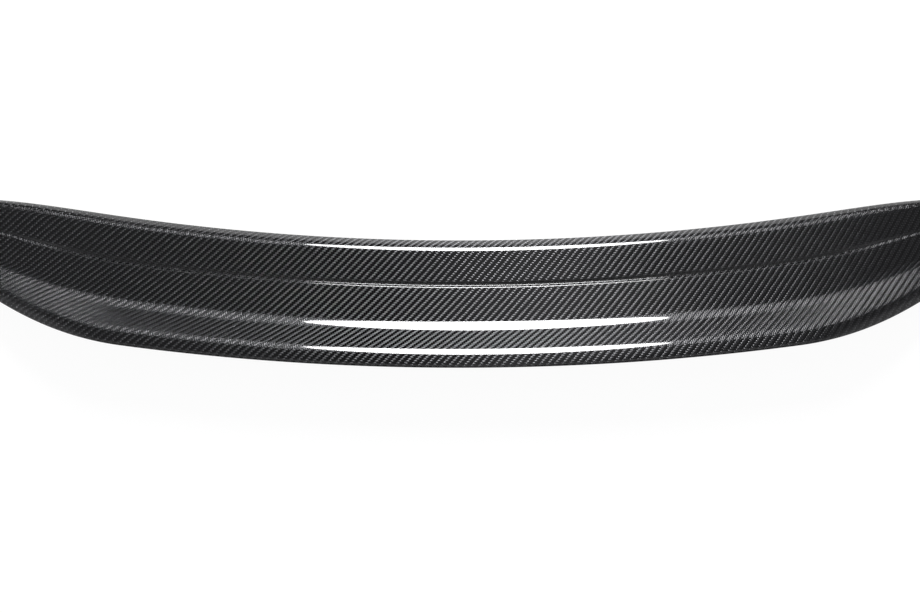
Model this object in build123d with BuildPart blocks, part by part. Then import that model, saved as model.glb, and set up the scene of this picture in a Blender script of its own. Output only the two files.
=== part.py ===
from build123d import *
from math import asin, atan2, cos, degrees, hypot, pi, radians, sin, tan
import os

# Boot spoiler moulded as one carbon fibre skin. X runs along the span, +Y points to the front of the
# car and +Z up off the boot lid. The origin is at mid span, under the middle of the front flange.
# All lengths are in millimetres and all angles in degrees.

# Plan
span = 1150.0
sweep_radius = 2600.0
taper_start = 345.0
tip_chord = 60.0
tip_height = 7.0
tip_relief = 0.16
tip_setback = 18.0
tip_arc_radius = 110.0

# Section at mid span, from the front edge rearward: the runs lie along the chord, and an angle is
# positive where the skin climbs towards the rear
edge_height = 1.5
nose_run = 4.8
nose_angle = 46.0
bevel_run = 9.3
bevel_angle = 38.0
deck_run = 34.4
deck_angle = -4.0
groove_run = 3.3
groove_angle = -40.0
rise_run = 3.6
rise_angle = 43.0
shelf_run = 42.0
shelf_angle = 8.5
kick_run = 34.2
kick_angle = 38.0
land_run = 8.6
land_angle = 19.0
crown_run = 6.5
crown_angle = -8.0
rear_run = 2.6
rear_angle = -42.0
foot_setback = 25.0

# Corner radii of the outer skin, and the most of a straight run that its two roundings may use
brow_radius = 40.0
bevel_radius = 14.0
roll_radius = 3.0
groove_radius = 2.0
rise_radius = 2.0
kick_radius = 39.0
land_radius = 25.0
crown_radius = 16.0
lip_radius = 7.0
rear_radius = 1.0
foot_radius = 2.0
rounding_limit = 0.97

# Laminate, bonding flanges and the hollow underneath
wall = 2.0
front_flange = 14.0
rear_flange = 16.0

# Sections lofted along each tapered end; the last bay, at the tip, is solid
tip_bays = 5

half_span = span / 2
sweep_centre = front_flange / 2 + sweep_radius
taper_turn = asin(taper_start / sweep_radius)
tip_turn = asin(half_span / sweep_radius)
runs = [
    (nose_run, nose_angle),
    (bevel_run, bevel_angle),
    (deck_run, deck_angle),
    (groove_run, groove_angle),
    (rise_run, rise_angle),
    (shelf_run, shelf_angle),
    (kick_run, kick_angle),
    (land_run, land_angle),
    (crown_run, crown_angle),
    (rear_run, rear_angle),
]
corner_radii = [
    brow_radius,
    bevel_radius,
    roll_radius,
    groove_radius,
    rise_radius,
    kick_radius,
    land_radius,
    crown_radius,
    lip_radius,
    rear_radius,
    foot_radius,
]
chord = sum(run for run, angle in runs)


def taper(turn):
    """How far a section is along the tapered end: 0 over the constant middle, 1 at the tip."""
    return max(0.0, (turn - taper_turn) / (tip_turn - taper_turn))


def chord_share(turn):
    """The chord's share of its mid-span length, falling ever faster towards the tip."""
    return 1 - (1 - tip_chord / chord) * taper(turn) ** 2


def relief(turn):
    """The share of the section's relief that is left, easing from 1 down to the tip's."""
    return tip_relief + (1 - tip_relief) * (1 + cos(pi * taper(turn))) / 2


def setback(turn):
    """How far the front edge is drawn back from the sweep's arc, to round the tips in plan."""
    return tip_setback * taper(turn) ** 4


def skin_corners(turn):
    """Corners (u, w) of the skin from the front edge's top to the foot: u rearward, w up."""
    u = 0.0
    w = edge_height
    corners = [(u, w)]
    for run, angle in runs:
        u += run
        w += run * tan(radians(angle))
        corners.append((u * chord_share(turn), tip_height + (w - tip_height) * relief(turn)))
    corners.append(((u - foot_setback) * chord_share(turn), 0.0))
    return corners


def inset(corners):
    """The closed outline moved inwards by the wall, with mitred corners."""
    moved = []
    for before, corner, after in zip(corners[-1:] + corners[:-1], corners, corners[1:] + corners[:1]):
        normals = []
        for start, end in ((before, corner), (corner, after)):
            length = hypot(end[0] - start[0], end[1] - start[1])
            normals.append(((end[1] - start[1]) / length, (start[0] - end[0]) / length))
        (ax, ay), (bx, by) = normals
        reach = wall / (1 + ax * bx + ay * by)
        moved.append((corner[0] + (ax + bx) * reach, corner[1] + (ay + by) * reach))
    return moved


def turns(corners):
    """The turn at each corner of a closed outline in radians, positive where it bends outwards."""
    found = []
    for before, corner, after in zip(corners[-1:] + corners[:-1], corners, corners[1:] + corners[:1]):
        ax, ay = corner[0] - before[0], corner[1] - before[1]
        bx, by = after[0] - corner[0], after[1] - corner[1]
        found.append(atan2(ay * bx - ax * by, ax * bx + ay * by))
    return found


def fitting_radii(corners, radii):
    """The radii, made smaller where two roundings would meet along the run between them."""
    reaches = [radius * abs(tan(turn / 2)) for radius, turn in zip(radii, turns(corners))]
    shares = [1.0] * len(corners)
    for i in range(len(corners)):
        j = (i + 1) % len(corners)
        room = rounding_limit * hypot(corners[j][0] - corners[i][0], corners[j][1] - corners[i][1])
        share = room / max(reaches[i] + reaches[j], room)
        shares[i] = min(shares[i], share)
        shares[j] = min(shares[j], share)
    return [radius * share for radius, share in zip(radii, shares)]


def rounded(corners, radii):
    """Start, middle and end of the arc that rounds each corner of a closed outline."""
    arcs = []
    neighbours = zip(corners[-1:] + corners[:-1], corners, corners[1:] + corners[:1])
    sizes = zip(fitting_radii(corners, radii), turns(corners))
    for (before, corner, after), (radius, turn) in zip(neighbours, sizes):
        point = Vector(*corner)
        back = (Vector(*before) - point).normalized()
        ahead = (Vector(*after) - point).normalized()
        reach = radius * abs(tan(turn / 2))
        middle = point + (back + ahead).normalized() * radius * (1 / cos(turn / 2) - 1)
        arcs.append((point + back * reach, middle, point + ahead * reach))
    return arcs


def section_plane(turn):
    """The upright plane through the sweep's centre at this turn from mid span, its x rearward."""
    return Plane(
        origin=(0, sweep_centre, 0),
        x_dir=(sin(turn), -cos(turn), 0),
        z_dir=(-cos(turn), -sin(turn), 0),
    )


def across(turn, corners):
    """Corners (u, w) of a section, measured on its plane from the sweep's centre."""
    return [(sweep_radius + setback(turn) + u, w) for u, w in corners]


def skin_outline(turn):
    """Rounded outline of the solid section, closed along the flat base."""
    corners = [(0.0, 0.0)] + skin_corners(turn)
    radii = [0.0, 0.0] + [radius * chord_share(turn) for radius in corner_radii]
    return rounded(across(turn, corners), radii)


def hollow_outline(turn):
    """Rounded outline of the hollow: a wall inside the skin, open between the flanges. Under the tail it
    runs straight from the kick to the rear edge, so the laminate is thicker along the lip."""
    _, *upper, _, _, rear, foot = skin_corners(turn)
    brow_u, brow_w = upper[0]
    toe = (-edge_height * brow_u / (brow_w - edge_height), 0.0)
    skin = [toe] + upper + [rear, foot]
    radii = [0.0]
    for radius, bend in zip(corner_radii[: len(upper)] + [rear_radius, foot_radius], turns(skin)[1:]):
        inner_radius = max(radius - wall, 0.0) if bend > 0 else radius + wall
        radii.append(inner_radius * chord_share(turn))
    rear_lip = foot[0] - rear_flange
    mouth = [(rear_lip, wall), (rear_lip, -wall), (front_flange, -wall), (front_flange, wall)]
    radii += [0.0] * len(mouth)
    return rounded(across(turn, inset(skin) + mouth), radii)


bay_turns = [taper_turn + (tip_turn - taper_turn) * bay / tip_bays for bay in range(tip_bays + 1)]
sweep_axis = Axis((0, sweep_centre, 0), (0, 0, 1))
forms = [(skin_outline, bay_turns, Mode.ADD), (hollow_outline, bay_turns[:-1], Mode.SUBTRACT)]

with BuildPart() as spoiler:
    # Right half: the solid form and then the hollow under it, each swept round the sweep's centre over
    # the constant middle and lofted along the tapered end
    for outline, end_turns, mode in forms:
        for turn in [0.0] + end_turns:
            arcs = outline(turn)
            with BuildSketch(section_plane(turn)):
                with BuildLine():
                    for (start, middle, end), following in zip(arcs, arcs[1:] + arcs[:1]):
                        if start != end:
                            ThreePointArc(start, middle, end)
                        Line(end, following[0])
                make_face()
            if turn == 0:
                revolve(axis=sweep_axis, revolution_arc=degrees(taper_turn), mode=mode)
        loft(mode=mode)
    # Tip trimmed to a shallow arc in plan
    tip_middle = sweep_centre - (sweep_radius + tip_setback + tip_chord / 2) * cos(tip_turn)
    with BuildSketch():
        with Locations((half_span - tip_arc_radius, tip_middle)):
            Circle(tip_arc_radius)
        Rectangle(half_span - tip_arc_radius, 4 * chord, align=(Align.MIN, Align.CENTER))
    extrude(amount=chord, mode=Mode.INTERSECT)
    mirror(about=Plane.YZ)

spoiler.part.label = "spoiler_shell"
os.makedirs("parts", exist_ok=True)
export_step(spoiler.part, "parts/spoiler_shell.step")
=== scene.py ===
import math

import bmesh
import bpy
import numpy as np
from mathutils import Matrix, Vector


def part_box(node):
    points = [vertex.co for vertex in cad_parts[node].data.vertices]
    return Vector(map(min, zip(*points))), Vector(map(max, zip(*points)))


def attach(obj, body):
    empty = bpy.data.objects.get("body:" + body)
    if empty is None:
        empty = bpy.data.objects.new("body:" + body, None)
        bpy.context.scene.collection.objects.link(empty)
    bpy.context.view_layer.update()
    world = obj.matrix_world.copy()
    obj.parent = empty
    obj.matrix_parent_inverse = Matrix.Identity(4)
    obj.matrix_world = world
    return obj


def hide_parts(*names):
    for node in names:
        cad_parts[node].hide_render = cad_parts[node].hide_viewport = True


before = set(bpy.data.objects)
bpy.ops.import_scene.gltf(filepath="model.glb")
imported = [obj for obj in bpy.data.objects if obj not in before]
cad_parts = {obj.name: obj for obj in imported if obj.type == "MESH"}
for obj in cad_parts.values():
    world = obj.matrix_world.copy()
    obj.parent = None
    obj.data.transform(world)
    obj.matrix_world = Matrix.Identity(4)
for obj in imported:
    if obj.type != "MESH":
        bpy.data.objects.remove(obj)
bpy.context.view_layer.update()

# Carbon fibre boot spoiler. Lengths are in millimetres until a mesh is made, and angles in degrees.
# A section lies on an upright plane through the centre of the sweep: u runs rearward from the front
# edge and w up from the boot lid. A turn is the angle of that plane from mid span, in radians.
MM = 0.001

# Plan
half_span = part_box("spoiler_shell")[1].x / MM
sweep_radius = 2600.0
taper_start = 345.0
tip_chord = 60.0
tip_height = 7.0
tip_relief = 0.16
tip_setback = 18.0
tip_arc_radius = 110.0
tip_bays = 5

# Section at mid span: each run along the chord with its slope, then the corners' radii
edge_height = 1.5
foot_setback = 25.0
runs_and_slopes = {
    "nose": (4.8, 46.0),
    "bevel": (9.3, 38.0),
    "deck": (34.4, -4.0),
    "groove": (3.3, -40.0),
    "rise": (3.6, 43.0),
    "shelf": (42.0, 8.5),
    "kick": (34.2, 38.0),
    "land": (8.6, 19.0),
    "crown": (6.5, -8.0),
    "rear": (2.6, -42.0),
}
corner_radii = {
    "brow": 40.0,
    "bevel": 14.0,
    "roll": 3.0,
    "groove": 2.0,
    "rise": 2.0,
    "kick": 39.0,
    "land": 25.0,
    "crown": 16.0,
    "lip": 7.0,
    "rear": 1.0,
    "foot": 2.0,
}
rounding_limit = 0.97

# Laminate and bonding flanges
wall = 2.0
front_flange = 14.0
rear_flange = 16.0

# Fineness of the mesh
tiny = 1e-9
skin_arc_steps = 12
hollow_arc_steps = 4
run_shares = (0.06, 0.5, 0.94)
middle_stations = 181
tip_stations = 22
trim_halvings = 40
weld_distance = 0.001
sharp_angle = 35.0

# Twill cloth: the pitch of the tows along the span and across it, and how far it lies turned on the part
pitch_along = 2.03
pitch_across = 2.12
cloth_turn = math.radians(1.6)

# Places on a tow, in tow widths from its middle: where the dip at a float's left end starts and ends, and
# where the dark gap beside the tow starts and ends
dip_start = 0.3
dip_end = 0.65
gap_start = 0.3
gap_end = 0.5

runs, slopes = np.array(list(runs_and_slopes.values())).T
radii = np.array(list(corner_radii.values()))
hollow_picks = np.array([i for i, name in enumerate(corner_radii) if name not in ("crown", "lip")])
chord = runs.sum()
sweep_centre = front_flange / 2 + sweep_radius
taper_turn = math.asin(taper_start / sweep_radius)
tip_turn = math.asin(half_span / sweep_radius)
hollow_turn = taper_turn + (tip_turn - taper_turn) * (tip_bays - 1) / tip_bays
tip_middle = sweep_centre - (sweep_radius + tip_setback + tip_chord / 2) * math.cos(tip_turn)


def taper(turn):
    """How far a section is along the tapered end: 0 over the constant middle, 1 at the tip."""
    return np.maximum(0.0, (np.abs(turn) - taper_turn) / (tip_turn - taper_turn))


def chord_share(turn):
    """The chord's share of its mid-span length: 1 less a part that grows as the taper squared."""
    return 1 - (1 - tip_chord / chord) * taper(turn) ** 2


def relief(turn):
    """The share of the section's relief that is left: half a cosine wave from 1 down to the tip's."""
    return tip_relief + (1 - tip_relief) * (1 + np.cos(np.pi * taper(turn))) / 2


def setback(turn):
    """How far the front edge is drawn back from the sweep's arc: the taper to the fourth power."""
    return tip_setback * taper(turn) ** 4


def unit(vectors):
    """The vectors divided by their lengths, with a vector of no length left as it is."""
    return vectors / np.maximum(np.linalg.norm(vectors, axis=-1, keepdims=True), tiny)


def points_of(u, w):
    """The arrays u and w, made as large as each other, as points."""
    return np.stack(np.broadcast_arrays(u, w), axis=-1)


def skin_corners(turn):
    """Corners of the skin from the front edge's top to the foot: the runs and their rises added up,
    shortened by the chord's share and drawn towards the tip's height by the relief."""
    u = np.concatenate(([0.0], np.cumsum(runs)))
    w = edge_height + np.concatenate(([0.0], np.cumsum(runs * np.tan(np.radians(slopes)))))
    share = chord_share(turn)[..., None]
    height = tip_height + (w - tip_height) * relief(turn)[..., None]
    height[..., 0] = edge_height
    foot = points_of((chord - foot_setback) * share, 0.0)
    return np.concatenate((points_of(u * share, height), foot), axis=-2)


def bends(corners):
    """The turn at each corner of a closed outline, positive where it bends outwards."""
    ahead = np.roll(corners, -1, axis=-2) - corners
    behind = np.roll(ahead, 1, axis=-2)
    cross = behind[..., 1] * ahead[..., 0] - behind[..., 0] * ahead[..., 1]
    return np.arctan2(cross, (behind * ahead).sum(axis=-1))


def inset(corners):
    """The closed outline moved inwards by the wall: each corner goes along the sum of its two inward
    normals, divided by one plus their product."""
    ahead = unit(np.roll(corners, -1, axis=-2) - corners)
    after = points_of(ahead[..., 1], -ahead[..., 0])
    before = np.roll(after, 1, axis=-2)
    reach = wall / (1 + (before * after).sum(axis=-1, keepdims=True))
    return corners + (before + after) * reach


def solid_loop(turn):
    """Corners and radii of the solid section near a tip: the skin, closed along the flat base."""
    skin = skin_corners(turn)
    base_front = np.zeros_like(skin[..., :1, :])
    rear_lip = points_of(skin[..., -1:, 0] - rear_flange, 0.0)
    front_lip = points_of(np.full_like(rear_lip[..., 0], front_flange), 0.0)
    corners = np.concatenate((base_front, skin, rear_lip, front_lip), axis=-2)
    skin_radii = radii * chord_share(turn)[..., None]
    sharp = np.zeros_like(skin_radii[..., :2])
    return corners, np.concatenate((sharp, skin_radii, sharp), axis=-1)


def shell_loop(turn):
    """Corners and radii of the hollow section: the solid one, with the hollow's outline let in between
    the two flanges. The hollow's roundings share their centres with the skin's, and under the tail it
    runs straight from the kick to the rear edge."""
    corners, outer_radii = solid_loop(turn)
    skin = skin_corners(turn)
    brow_u, brow_w = skin[..., 1:2, 0], skin[..., 1:2, 1]
    toe = points_of(-edge_height * brow_u / (brow_w - edge_height), 0.0)
    outer = np.concatenate((toe, skin[..., 1 + hollow_picks, :]), axis=-2)
    outward = bends(outer)[..., 1:] > 0
    skin_radii = radii[hollow_picks]
    inner_radii = np.where(outward, np.maximum(skin_radii - wall, 0.0), skin_radii + wall)
    inner_radii = inner_radii * chord_share(turn)[..., None]
    hollow = inset(outer)[..., ::-1, :]
    rear_lip, front_lip = corners[..., -2:-1, :], corners[..., -1:, :]
    lip_top = np.array([0.0, wall])
    corners = np.concatenate(
        (corners[..., :-1, :], rear_lip + lip_top, hollow, front_lip + lip_top, front_lip), axis=-2
    )
    sharp = np.zeros_like(outer_radii[..., :1])
    loop_radii = np.concatenate(
        (outer_radii[..., :-1], sharp, inner_radii[..., ::-1], sharp, sharp, sharp), axis=-1
    )
    return corners, loop_radii


def loop_samples(arc_steps):
    """For each point round a section, its corner, its share of that corner's arc, and its share of
    the straight run that follows. A sharp corner has no steps."""
    rows = []
    for corner, steps in enumerate(arc_steps):
        rows += [(corner, share, 0.0) for share in np.linspace(0.0, 1.0, steps + 1)]
        rows += [(corner, 1.0, along) for along in run_shares]
    corner, share, along = np.array(rows).T
    return corner.astype(int), share, along


def section_points(loop, samples, turn):
    """Points (u, w) of a section at each turn and sample. An arc turns about a centre on the line that
    halves its corner, and a run is the straight line from one arc's end to the next arc's start."""
    corner, share, along = samples
    corners, radius = loop(turn)
    bend = np.abs(bends(corners))
    ahead = np.roll(corners, -1, axis=-2) - corners
    reach = radius * np.tan(bend / 2)
    room = rounding_limit * np.linalg.norm(ahead, axis=-1)
    fit = room / np.maximum(reach + np.roll(reach, -1, axis=-1), room)
    radius = radius * np.minimum(fit, np.roll(fit, 1, axis=-1))
    after = unit(ahead)
    before = -np.roll(after, 1, axis=-2)
    inward = unit(before + after)
    sideways = unit(after - before)
    centre = corners + inward * (radius / np.cos(bend / 2))[..., None]

    def on_arc(number, part):
        pick = (slice(None), np.arange(len(number)), number)
        angle = (bend[pick] * (part - 0.5))[..., None]
        swing = sideways[pick] * np.sin(angle) - inward[pick] * np.cos(angle)
        return centre[pick] + swing * radius[pick][..., None]

    start = on_arc(corner, share)
    following = on_arc((corner + 1) % corners.shape[-2], np.zeros_like(share))
    return start + (following - start) * along[:, None]


def in_space(turn, section):
    """Points (u, w) of sections put in space: u is added to the sweep's radius, and turned about the
    sweep's centre."""
    reach = sweep_radius + setback(turn) + section[..., 0]
    return np.stack(
        (reach * np.sin(turn), sweep_centre - reach * np.cos(turn), section[..., 1]), axis=-1
    )


def trimmed_turn(samples):
    """The turn at which each sample's line along the span meets the tip's plan arc, by halving."""
    low = np.full((1, len(samples[0])), hollow_turn)
    high = np.full_like(low, tip_turn)
    for _ in range(trim_halvings):
        turn = (low + high) / 2
        place = in_space(turn, section_points(solid_loop, samples, turn))
        x, y = place[..., 0] - (half_span - tip_arc_radius), place[..., 1] - tip_middle
        outside = (x > 0) & (np.hypot(x, y) > tip_arc_radius)
        high = np.where(outside, turn, high)
        low = np.where(outside, low, turn)
    return low


def round_lengths(loop, samples):
    """The length round the mid-span section from its start to each sample, and to its start again."""
    section = section_points(loop, samples, np.zeros((1, len(samples[0]))))[0]
    steps = np.linalg.norm(np.roll(section, -1, axis=0) - section, axis=-1)
    return np.concatenate(([0.0], np.cumsum(steps)))


def grid_faces(stations, count, first):
    """Vertex numbers of the four corners of each face of a grid that is closed round each section."""
    station, sample = np.meshgrid(np.arange(stations - 1), np.arange(count), indexing="ij")
    following = (sample + 1) % count
    corners = (station * count + sample, station * count + following)
    corners += ((station + 1) * count + following, (station + 1) * count + sample)
    return first + np.stack(corners, axis=-1).reshape(-1, 4)


def grid_cloth(turn, lengths):
    """Place of each face's corners on the cloth: the turn times the radius of mid chord along the span,
    and the length round the section times the chord's share across it, then turned with the cloth."""
    turn = np.concatenate((turn, turn[:, :1]), axis=1)
    along = turn * (sweep_radius + chord / 2)
    across = lengths * chord_share(turn)
    cosine, sine = math.cos(cloth_turn), math.sin(cloth_turn)
    cloth = np.stack((along * cosine - across * sine, along * sine + across * cosine), axis=-1)
    corners = (cloth[:-1, :-1], cloth[:-1, 1:], cloth[1:, 1:], cloth[1:, :-1])
    return np.stack(corners, axis=-2).reshape(-1, 2)


def spoiler_mesh():
    """The moulded skin as one closed mesh: a grid of hollow sections, a grid of solid sections that
    runs out to the plan arc at each tip, the hollow's two end walls and the two tip faces."""
    rounded = [skin_arc_steps] * len(radii)
    hollow_rounded = [hollow_arc_steps] * len(hollow_picks)
    shell_samples = loop_samples([0, 0] + rounded + [0, 0] + hollow_rounded + [0, 0, 0])
    solid_samples = loop_samples([0, 0] + rounded + [0, 0])
    shell_count, solid_count = len(shell_samples[0]), len(solid_samples[0])
    foot = 1 + len(radii)
    rear_lip = foot + 1

    middle = np.linspace(-hollow_turn, hollow_turn, middle_stations)[:, None]
    middle = np.repeat(middle, shell_count, axis=1)
    outwards = np.linspace(0.0, 1.0, tip_stations)[:, None]
    right = hollow_turn + (trimmed_turn(solid_samples) - hollow_turn) * outwards

    grids = [(shell_loop, shell_samples, middle)]
    grids += [(solid_loop, solid_samples, right), (solid_loop, solid_samples, -right)]
    places, faces, cloth, inside = [], [], [], []
    first = 0
    for loop, samples, turn in grids:
        places.append(in_space(turn, section_points(loop, samples, turn)).reshape(-1, 3))
        faces += grid_faces(*turn.shape, first).tolist()
        cloth.append(grid_cloth(turn, round_lengths(loop, samples)))
        inside.append(np.tile(samples[0] >= foot, turn.shape[0] - 1))
        first += turn.size
    places = np.concatenate(places) * MM

    # The hollow's end walls and the tip faces: one face each, with y and z as its place on the cloth
    hollow = np.flatnonzero(shell_samples[0] >= rear_lip)
    hollow = hollow[: len(hollow) - len(run_shares)]
    base = np.flatnonzero(solid_samples[0] == rear_lip)[1:][::-1]
    solid_size = right.size
    for end, wall_first in enumerate(((middle_stations - 1) * shell_count, 0)):
        solid_first = middle.size + end * solid_size
        wall_face = np.concatenate((wall_first + hollow, solid_first + base))
        tip_face = solid_first + solid_size - solid_count + np.arange(solid_count)
        for face, is_inside in ((wall_face, True), (tip_face, False)):
            faces.append(face.tolist())
            cloth.append(places[face][:, 1:] / MM)
            inside.append(np.array([is_inside]))

    mesh = bpy.data.meshes.new("spoiler_skin")
    mesh.from_pydata(places.tolist(), [], faces)
    weave = mesh.uv_layers.new(name="weave")
    weave.data.foreach_set("uv", (np.concatenate(cloth) * MM).ravel())
    mesh.polygons.foreach_set("material_index", np.concatenate(inside).astype(np.int32))
    mesh.polygons.foreach_set("use_smooth", np.ones(len(faces), dtype=bool))

    welded = bmesh.new()
    welded.from_mesh(mesh)
    bmesh.ops.remove_doubles(welded, verts=welded.verts, dist=weld_distance * MM)
    bmesh.ops.recalc_face_normals(welded, faces=welded.faces)
    welded.to_mesh(mesh)
    welded.free()
    mesh.set_sharp_from_angle(angle=math.radians(sharp_angle))
    return mesh


def linear(colour):
    """An sRGB hex colour as linear red, green, blue and alpha, by the sRGB curve."""
    channels = np.array([int(colour[i : i + 2], 16) / 255 for i in (1, 3, 5)])
    curve = np.where(channels <= 0.04045, channels / 12.92, ((channels + 0.055) / 1.055) ** 2.4)
    return (*curve.tolist(), 1.0)


def add_node(tree, kind, values=None, **settings):
    """Adds a node: settings are its options, and values gives inputs a constant, a node or a socket."""
    node = tree.nodes.new(kind)
    for name, value in settings.items():
        setattr(node, name, value)
    for name, value in (values or {}).items():
        if isinstance(value, bpy.types.Node):
            value = value.outputs[0]
        if isinstance(value, bpy.types.NodeSocket):
            tree.links.new(value, node.inputs[name])
        else:
            node.inputs[name].default_value = value
    return node


def new_material(name):
    """An empty material, its node tree and the output node."""
    material = bpy.data.materials.new(name)
    material.use_nodes = True
    tree = material.node_tree
    tree.nodes.clear()
    return material, tree, add_node(tree, "ShaderNodeOutputMaterial")


def twill(tree, left_arch, right_arch, cross_arch, span_round, cross_round, skew):
    """Nodes for 2x2 twill on the cloth's own map. A cell's column and row add up to a phase of 0 to 3.
    In phases 0 and 1 the tow along the span floats over two columns, and in phases 2 and 3 the tow
    across it floats over two rows. Along is the place on a float's length, from -1 to 1, and across the
    place on its width, from -0.5 to 0.5. The floats' ends lie aslant: leaned is along less the skew
    times across. A tow along the span dips by a smooth step at its left end and by the cube of leaned at
    its right, and a tow across it by the cube at both. The slope across a tow grows evenly from its
    middle. Returns over, which is 1 where the tow along the span lies on top, body, which falls from 1
    to 0 in the gaps beside a tow, and the normal."""
    cloth = add_node(tree, "ShaderNodeUVMap", uv_map="weave")
    place = add_node(tree, "ShaderNodeSeparateXYZ", {0: cloth})
    x, y, _ = place.outputs
    columns = add_node(tree, "ShaderNodeMath", {0: x, 1: pitch_along * MM}, operation="DIVIDE")
    rows = add_node(tree, "ShaderNodeMath", {0: y, 1: pitch_across * MM}, operation="DIVIDE")
    column = add_node(tree, "ShaderNodeMath", {0: columns}, operation="FLOOR")
    row = add_node(tree, "ShaderNodeMath", {0: rows}, operation="FLOOR")
    column_part = add_node(tree, "ShaderNodeMath", {0: columns}, operation="FRACT")
    row_part = add_node(tree, "ShaderNodeMath", {0: rows}, operation="FRACT")
    cell = add_node(tree, "ShaderNodeMath", {0: column, 1: row}, operation="ADD")
    phase = add_node(tree, "ShaderNodeMath", {0: cell, 1: 4.0}, operation="FLOORED_MODULO")
    over = add_node(tree, "ShaderNodeMath", {0: phase, 1: 1.5}, operation="LESS_THAN")
    half_phase = add_node(tree, "ShaderNodeMath", {0: phase, 1: 2.0}, operation="FLOORED_MODULO")
    long_part = add_node(tree, "ShaderNodeMix", {0: over, 2: row_part, 3: column_part})
    wide_part = add_node(tree, "ShaderNodeMix", {0: over, 2: column_part, 3: row_part})
    far = add_node(tree, "ShaderNodeMath", {0: long_part, 1: half_phase}, operation="ADD")
    along = add_node(tree, "ShaderNodeMath", {0: far, 1: 1.0}, operation="SUBTRACT")
    across = add_node(tree, "ShaderNodeMath", {0: wide_part, 1: 0.5}, operation="SUBTRACT")
    leaned = add_node(tree, "ShaderNodeMath", {0: across, 1: -skew, 2: along}, operation="MULTIPLY_ADD")
    square = add_node(tree, "ShaderNodeMath", {0: leaned, 1: leaned}, operation="MULTIPLY")
    cube = add_node(tree, "ShaderNodeMath", {0: square, 1: leaned}, operation="MULTIPLY")
    is_right = add_node(tree, "ShaderNodeMath", {0: leaned, 1: 0.0}, operation="GREATER_THAN")
    left_dip = add_node(
        tree,
        "ShaderNodeMapRange",
        {0: leaned, 1: -dip_start, 2: -dip_end, 3: 0.0, 4: -left_arch},
        interpolation_type="SMOOTHSTEP",
    )
    right_dip = add_node(tree, "ShaderNodeMath", {0: cube, 1: right_arch}, operation="MULTIPLY")
    span_dip = add_node(tree, "ShaderNodeMix", {0: is_right, 2: left_dip, 3: right_dip})
    cross_dip = add_node(tree, "ShaderNodeMath", {0: cube, 1: cross_arch}, operation="MULTIPLY")
    arch = add_node(tree, "ShaderNodeMix", {0: over, 2: cross_dip, 3: span_dip})
    roundness = add_node(tree, "ShaderNodeMix", {0: over, 2: 2 * cross_round, 3: 2 * span_round})
    side = add_node(tree, "ShaderNodeMath", {0: across, 1: roundness}, operation="MULTIPLY")
    lean_x = add_node(tree, "ShaderNodeMix", {0: over, 2: side, 3: arch})
    lean_y = add_node(tree, "ShaderNodeMix", {0: over, 2: arch, 3: side})
    lean = add_node(tree, "ShaderNodeCombineXYZ", {0: lean_x, 1: lean_y, 2: 1.0})
    straight = add_node(tree, "ShaderNodeVectorMath", {0: lean}, operation="NORMALIZE")
    # A normal map holds half of each part of the normal, plus a half
    half = (0.5, 0.5, 0.5)
    packed = add_node(
        tree, "ShaderNodeVectorMath", {0: straight, 1: half, 2: half}, operation="MULTIPLY_ADD"
    )
    normal = add_node(tree, "ShaderNodeNormalMap", {0: 1.0, 1: packed}, uv_map="weave")
    off_middle = add_node(tree, "ShaderNodeMath", {0: across}, operation="ABSOLUTE")
    body = add_node(
        tree,
        "ShaderNodeMapRange",
        {0: off_middle, 1: gap_end, 2: gap_start},
        interpolation_type="SMOOTHSTEP",
    )
    return over, body, normal


def gloss_carbon():
    """Woven carbon fibre under a polished clear coat. Each tow shines across its fibres and stays dark
    along them, so the twill shows as bright and dark dashes that change with the light, and the coat
    lays a sharp reflection over them. The tows along the span are also painted lighter than the tows
    across them. Both sets are the same fibre, so this is a painted sheen on the one set and painted
    shade on the other, for how each catches the softbox in this light."""
    material, tree, output = new_material("twill_carbon_clear_coated")
    over, body, normal = twill(
        tree, left_arch=0.15, right_arch=1.2, cross_arch=0.02, span_round=1.2, cross_round=0.3, skew=0.5
    )
    # The shine of the tows along the span lies a quarter turn from that of the tows across them
    tangent = add_node(tree, "ShaderNodeTangent", direction_type="UV_MAP", uv_map="weave")
    turned = add_node(tree, "ShaderNodeMath", {0: over, 1: 0.25}, operation="MULTIPLY")
    # Painted sheen and painted shade: the tows along the span get a lighter base colour and the tows
    # across them a darker one, for how each set catches the light here, though both are the same fibre
    tow = add_node(
        tree,
        "ShaderNodeMix",
        {0: over, 6: linear("#2a2a2b"), 7: linear("#464648")},
        data_type="RGBA",
    )
    colour = add_node(
        tree,
        "ShaderNodeMix",
        {0: body, 6: linear("#050505"), 7: tow.outputs[2]},
        data_type="RGBA",
    )
    roughness = add_node(tree, "ShaderNodeMix", {0: over, 2: 0.16, 3: 0.34})
    shader = add_node(
        tree,
        "ShaderNodeBsdfPrincipled",
        {
            "Base Color": colour.outputs[2],
            "Metallic": 1.0,
            "Roughness": roughness,
            "Anisotropic": 1.0,
            "Anisotropic Rotation": turned,
            "Tangent": tangent,
            "Normal": normal,
            "Coat Weight": 1.0,
            "Coat Roughness": 0.03,
            "Coat IOR": 1.5,
        },
    )
    tree.links.new(shader.outputs[0], output.inputs[0])
    return material


def bare_laminate():
    """The bagged inner face of the laminate. Its resin is satin and nearly black, with the cloth's
    ridges standing a little proud."""
    material, tree, output = new_material("bare_carbon_laminate_satin")
    over, _, normal = twill(
        tree, left_arch=0.2, right_arch=0.2, cross_arch=0.2, span_round=0.2, cross_round=0.2, skew=0.0
    )
    colour = add_node(
        tree,
        "ShaderNodeMix",
        {0: over, 6: linear("#262627"), 7: linear("#2f2f30")},
        data_type="RGBA",
    )
    shader = add_node(
        tree,
        "ShaderNodeBsdfPrincipled",
        {"Base Color": colour.outputs[2], "Roughness": 0.42, "Normal": normal},
    )
    tree.links.new(shader.outputs[0], output.inputs[0])
    return material


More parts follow.
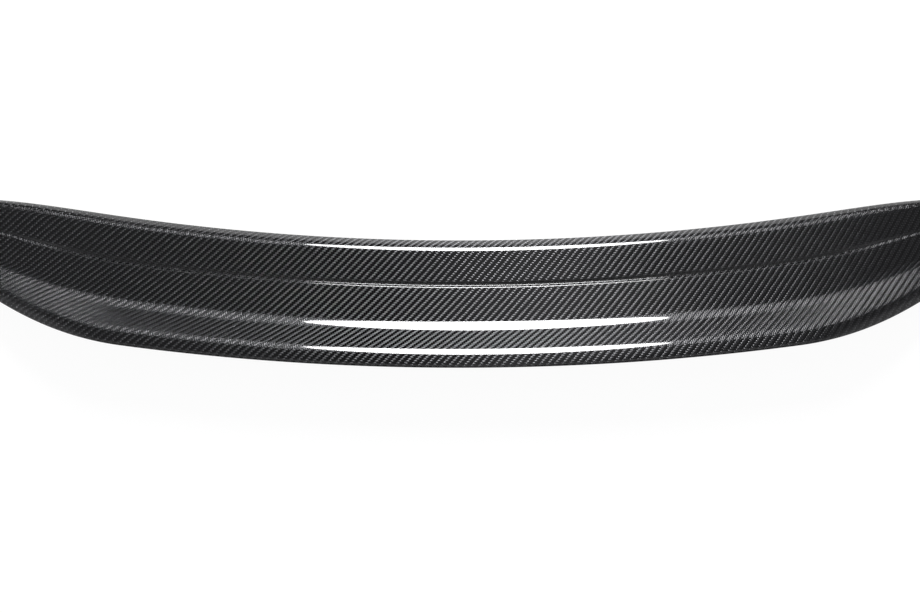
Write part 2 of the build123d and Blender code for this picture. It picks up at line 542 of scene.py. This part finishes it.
def add_spoiler():
    """The one piece: it stands for the moulded shell and rides on the only body."""
    mesh = spoiler_mesh()
    mesh.materials.append(gloss_carbon())
    mesh.materials.append(bare_laminate())
    piece = bpy.data.objects.new("spoiler_skin", mesh)
    bpy.context.scene.collection.objects.link(piece)
    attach(piece, "root")
    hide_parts("spoiler_shell")


# Camera: the view of the photograph. Lengths are in metres from here on, apart from the scale and the
# sensor, which are in millimetres
frame_width = 920
mm_per_pixel = 1.10
view_elevation = 80.0
view_distance = 1.8
view_target = (0.0, -0.0692, 0.010)
sensor_width = 36.0

# Softbox: the heights of its lower and upper edge over the horizon, its distance, its length, how far it
# stands to the right, and its brightness
softbox_low = 8.0
softbox_high = 42.0
softbox_distance = 2.0
softbox_length = 0.62
softbox_offset = 0.045
softbox_radiance = 37.0

# Pale strip overhead: the sideways part of a ray's direction at its middle, and half its width, each at
# the horizon and straight up
strip_middle = (0.021, 0.049)
strip_half_width = (0.043, 0.10)

# Pale walls: the sideways or rearward part of a ray's direction from which a wall turns pale and at which
# it is, and what the upward part is multiplied by to keep the foot of the rear wall dim
pale_from = 0.4
pale_at = 0.7
rear_rise = 1.2

# Floor: its size, how far it lies under the spoiler, its own glow, and the glow's share of its looks
floor_size = 80.0
floor_gap = 0.0002
floor_glow = 1.10
glow_share = 0.85


def add_camera():
    """The camera stands behind the spoiler and looks down on it, as in the photograph."""
    data = bpy.data.cameras.new("camera")
    data.sensor_width = sensor_width
    data.lens = sensor_width * view_distance / (frame_width * mm_per_pixel * MM)
    camera = bpy.data.objects.new("camera", data)
    tilt = math.radians(view_elevation)
    x, y, z = view_target
    camera.location = (x, y - view_distance * math.cos(tilt), z + view_distance * math.sin(tilt))
    camera.rotation_euler = (math.radians(90.0 - view_elevation), 0.0, 0.0)
    bpy.context.scene.collection.objects.link(camera)
    bpy.context.scene.camera = camera


def add_softbox():
    """One long softbox stands in front of the spoiler. Its mirror image makes the bright bands."""
    middle = math.radians((softbox_low + softbox_high) / 2)
    half_height = math.radians((softbox_high - softbox_low) / 2)
    data = bpy.data.lights.new("softbox", "AREA")
    data.shape = "ELLIPSE"
    data.size = softbox_length
    data.size_y = 2 * softbox_distance * math.tan(half_height)
    data.energy = softbox_radiance * math.pi * data.size * data.size_y * math.pi / 4
    lamp = bpy.data.objects.new("softbox", data)
    x, y, z = view_target
    lamp.location = (
        x + softbox_offset,
        y + softbox_distance * math.cos(middle),
        z + softbox_distance * math.sin(middle),
    )
    lamp.rotation_euler = (math.pi / 2 - middle, 0.0, math.pi)
    lamp.visible_camera = False
    bpy.context.scene.collection.objects.link(lamp)


def add_world():
    """A plain studio. Its front and ceiling are dim, and give the coat little to mirror. A soft pale strip
    runs overhead from front to rear, and the side walls and the upper rear wall are pale, so that the
    weave shows from other sides too. Each is a smooth step of a part of the ray's direction."""
    world = bpy.data.worlds.new("studio")
    bpy.context.scene.world = world
    world.use_nodes = True
    tree = world.node_tree
    tree.nodes.clear()
    ray = add_node(tree, "ShaderNodeTexCoord")
    ray_parts = add_node(tree, "ShaderNodeSeparateXYZ", {0: ray.outputs["Generated"]})
    across, ahead, up = ray_parts.outputs
    low, high = strip_middle
    middle = add_node(tree, "ShaderNodeMapRange", {0: up, 3: low, 4: high})
    low, high = strip_half_width
    half_width = add_node(tree, "ShaderNodeMapRange", {0: up, 3: low, 4: high})
    off_middle = add_node(tree, "ShaderNodeMath", {0: across, 1: middle}, operation="SUBTRACT")
    share_off = add_node(tree, "ShaderNodeMath", {0: off_middle, 1: half_width}, operation="DIVIDE")
    distance = add_node(tree, "ShaderNodeMath", {0: share_off}, operation="ABSOLUTE")
    strip = add_node(
        tree, "ShaderNodeMapRange", {0: distance, 1: 1.0, 2: 0.0}, interpolation_type="SMOOTHSTEP"
    )
    dark_wall = add_node(
        tree, "ShaderNodeMix", {0: up, 6: linear("#525254"), 7: linear("#757577")}, data_type="RGBA"
    )
    sideways = add_node(tree, "ShaderNodeMath", {0: across}, operation="ABSOLUTE")
    rearward = add_node(tree, "ShaderNodeMath", {0: ahead, 1: -1.0}, operation="MULTIPLY")
    rise = add_node(tree, "ShaderNodeMath", {0: up, 1: rear_rise}, operation="MULTIPLY")
    upper_rear = add_node(tree, "ShaderNodeMath", {0: rearward, 1: rise}, operation="MINIMUM")
    outwards = add_node(tree, "ShaderNodeMath", {0: sideways, 1: upper_rear}, operation="MAXIMUM")
    pale = add_node(
        tree,
        "ShaderNodeMapRange",
        {0: outwards, 1: pale_from, 2: pale_at},
        interpolation_type="SMOOTHSTEP",
    )
    wall = add_node(
        tree,
        "ShaderNodeMix",
        {0: pale, 6: dark_wall.outputs[2], 7: linear("#cfcfd1")},
        data_type="RGBA",
    )
    colour = add_node(
        tree,
        "ShaderNodeMix",
        {0: strip, 6: wall.outputs[2], 7: linear("#c2c2c4")},
        data_type="RGBA",
    )
    background = add_node(tree, "ShaderNodeBackground", {0: colour.outputs[2], 1: 1.0})
    add_node(tree, "ShaderNodeOutputWorld", {0: background})


def add_floor():
    """A pale floor that reads as white and keeps a soft shadow: most of what the camera and mirrors see
    of it is its own even glow, and the rest is the light that falls on it."""
    corners = np.array([(-1, -1, 0), (1, -1, 0), (1, 1, 0), (-1, 1, 0)]) * floor_size / 2
    corners[:, 2] = -floor_gap
    mesh = bpy.data.meshes.new("floor")
    mesh.from_pydata(corners.tolist(), [], [(0, 1, 2, 3)])
    material, tree, output = new_material("white_paper")
    path = add_node(tree, "ShaderNodeLightPath")
    camera_ray = path.outputs["Is Camera Ray"]
    glossy_ray = path.outputs["Is Glossy Ray"]
    clear_ray = path.outputs["Is Transmission Ray"]
    mirrored = add_node(tree, "ShaderNodeMath", {0: glossy_ray, 1: clear_ray}, operation="MAXIMUM")
    seen = add_node(tree, "ShaderNodeMath", {0: camera_ray, 1: mirrored}, operation="MAXIMUM")
    share = add_node(tree, "ShaderNodeMath", {0: seen, 1: glow_share}, operation="MULTIPLY")
    paper = add_node(tree, "ShaderNodeBsdfDiffuse", {0: linear("#e6e6e6")})
    glow = add_node(tree, "ShaderNodeEmission", {0: linear("#ffffff"), 1: floor_glow})
    both = add_node(tree, "ShaderNodeMixShader", {0: share, 1: paper, 2: glow})
    tree.links.new(both.outputs[0], output.inputs[0])
    mesh.materials.append(material)
    floor = bpy.data.objects.new("floor", mesh)
    bpy.context.scene.collection.objects.link(floor)


add_spoiler()
add_camera()
add_softbox()
add_world()
add_floor()
bpy.context.scene.view_settings.view_transform = "Standard"
